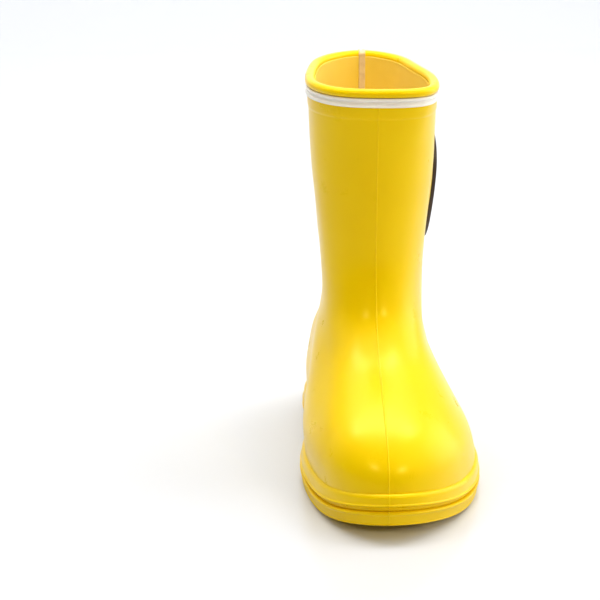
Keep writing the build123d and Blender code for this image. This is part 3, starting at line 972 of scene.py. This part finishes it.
# ---------------------------------------------------------------- studio
def build_studio():
    """Pale floor that curves up into a backdrop. Its sizes are in metres."""
    half, front, turn_at, radius, top = 3.0, -2.6, 1.1, 0.8, 3.0
    line = [(front, 0.0)] + [(turn_at + radius * math.sin(a), radius * (1 - math.cos(a)))
                             for a in np.linspace(0, math.pi / 2, 24)] + [(turn_at + radius, top)]
    points = [(x, y, z) for y, z in line for x in (-half, half)]
    faces = [(2 * i, 2 * i + 1, 2 * i + 3, 2 * i + 2) for i in range(len(line) - 1)]
    mesh = bpy.data.meshes.new("studio_floor")
    mesh.from_pydata(points, [], faces)
    mesh.polygons.foreach_set("use_smooth", [True] * len(mesh.polygons))
    floor = bpy.data.objects.new("studio_floor", mesh)
    bpy.context.scene.collection.objects.link(floor)
    material, _, shader = new_material("studio_paper")
    shader.inputs["Base Color"].default_value = (0.635, 0.655, 0.70, 1)
    shader.inputs["Roughness"].default_value = 0.22
    shader.inputs["Specular IOR Level"].default_value = 0.6
    mesh.materials.append(material)


def area_light(name, position, target, size, power, colour=(1, 1, 1), spread=180, glossy=True):
    light = bpy.data.lights.new(name, "AREA")
    light.shape = "RECTANGLE"
    light.size, light.size_y = size
    light.energy = power
    light.color = colour
    light.spread = math.radians(spread)
    holder = bpy.data.objects.new(name, light)
    bpy.context.scene.collection.objects.link(holder)
    toward = Vector(target) - Vector(position)
    aim = toward.to_track_quat("-Z", "Y").to_matrix().to_4x4()
    holder.matrix_world = Matrix.Translation(position) @ aim
    holder.visible_glossy = glossy


def build_world():
    """Surroundings: bright behind and above the boot, darker on the camera's side."""
    world = bpy.data.worlds.new("studio")
    bpy.context.scene.world = world
    world.use_nodes = True
    tree = world.node_tree
    direction = add_node(tree, "ShaderNodeTexCoord").outputs["Generated"]
    split = add_node(tree, "ShaderNodeSeparateXYZ", Vector=direction)
    across = math_node(tree, "MULTIPLY", split.outputs["X"], 0.45)
    behind = math_node(tree, "ADD", split.outputs["Y"], across)
    upward = math_node(tree, "MULTIPLY", split.outputs["Z"], 0.35)
    back = tree.nodes["Background"]
    facing = math_node(tree, "ADD", behind, upward)
    tone = mix_colour(tree, ramp(tree, facing, -0.6, 0.2), (1.0, 0.86, 0.60), (0.98, 0.99, 1.0))
    tree.links.new(tone, back.inputs["Color"])
    tree.links.new(ramp(tree, facing, -0.75, 0.75, 0.08, 1.42), back.inputs["Strength"])
    bpy.context.scene.view_settings.view_transform = "Standard"


def build_lights():
    """Soft light from behind and above, warmer lights in front, and a small one over the mouth."""
    warm = (1.0, 0.84, 0.55)
    area_light("key_left", (-0.55, 0.14, 1.05), (0, 0, 0.05), (0.20, 0.30), 0.6)
    area_light("key_right", (0.56, 0.20, 1.05), (0, 0, 0.05), (0.20, 0.30), 0.8)
    area_light("top_fill", (0.0, 0.45, 1.7), (0, 0, 0.05), (2.0, 1.4), 3.2)
    area_light("over_mouth", (0.01, -0.02, 0.60), (0, 0.085, 0.15), (0.14, 0.14), 0.07,
               spread=40, glossy=False)
    area_light("front_right", (0.85, -1.35, 1.00), (0, -0.05, 0.03), (0.24, 0.24), 6.4, warm)
    area_light("front_left", (-0.60, -1.10, 0.95), (0, -0.06, 0.03), (0.20, 0.20), 3.2, warm)
    area_light("side_right", (1.05, 0.25, 0.45), (0, 0, 0.10), (0.8, 0.9), 3.3)
    area_light("side_left", (-1.1, 0.1, 0.6), (0, 0, 0.08), (0.7, 0.9), 0.7, (1.0, 0.85, 0.60))
    area_light("backdrop_wash", (0.0, 0.5, 2.2), (0, 1.9, 0.6), (2.4, 0.8), 50.0)


def build_camera():
    """The photograph's view: a little above, in front of the toe, the boot right of the middle."""
    camera = bpy.data.cameras.new("camera")
    camera.sensor_width = 36
    camera.lens = 96
    camera.clip_start, camera.clip_end = 0.01, 30
    holder = bpy.data.objects.new("camera", camera)
    bpy.context.scene.collection.objects.link(holder)
    holder.location = ((parting_x - 64.0) * MM, (toe_y - 617.6) * MM, 324.5 * MM)
    holder.rotation_euler = (math.radians(90 - 19.0), 0, math.radians(-2.38))
    bpy.context.scene.camera = holder


build_upper()
build_roll()
build_trim()
build_foxing()
build_outsole()
build_lining()
build_tape()
build_insole()
build_badge()
dress("sole_filler", sponge)
dress("toe_puff", stiff_cloth)
dress("heel_counter", stiff_cloth)
dress("lining_sole", board_cloth)
build_studio()
build_world()
build_lights()
build_camera()
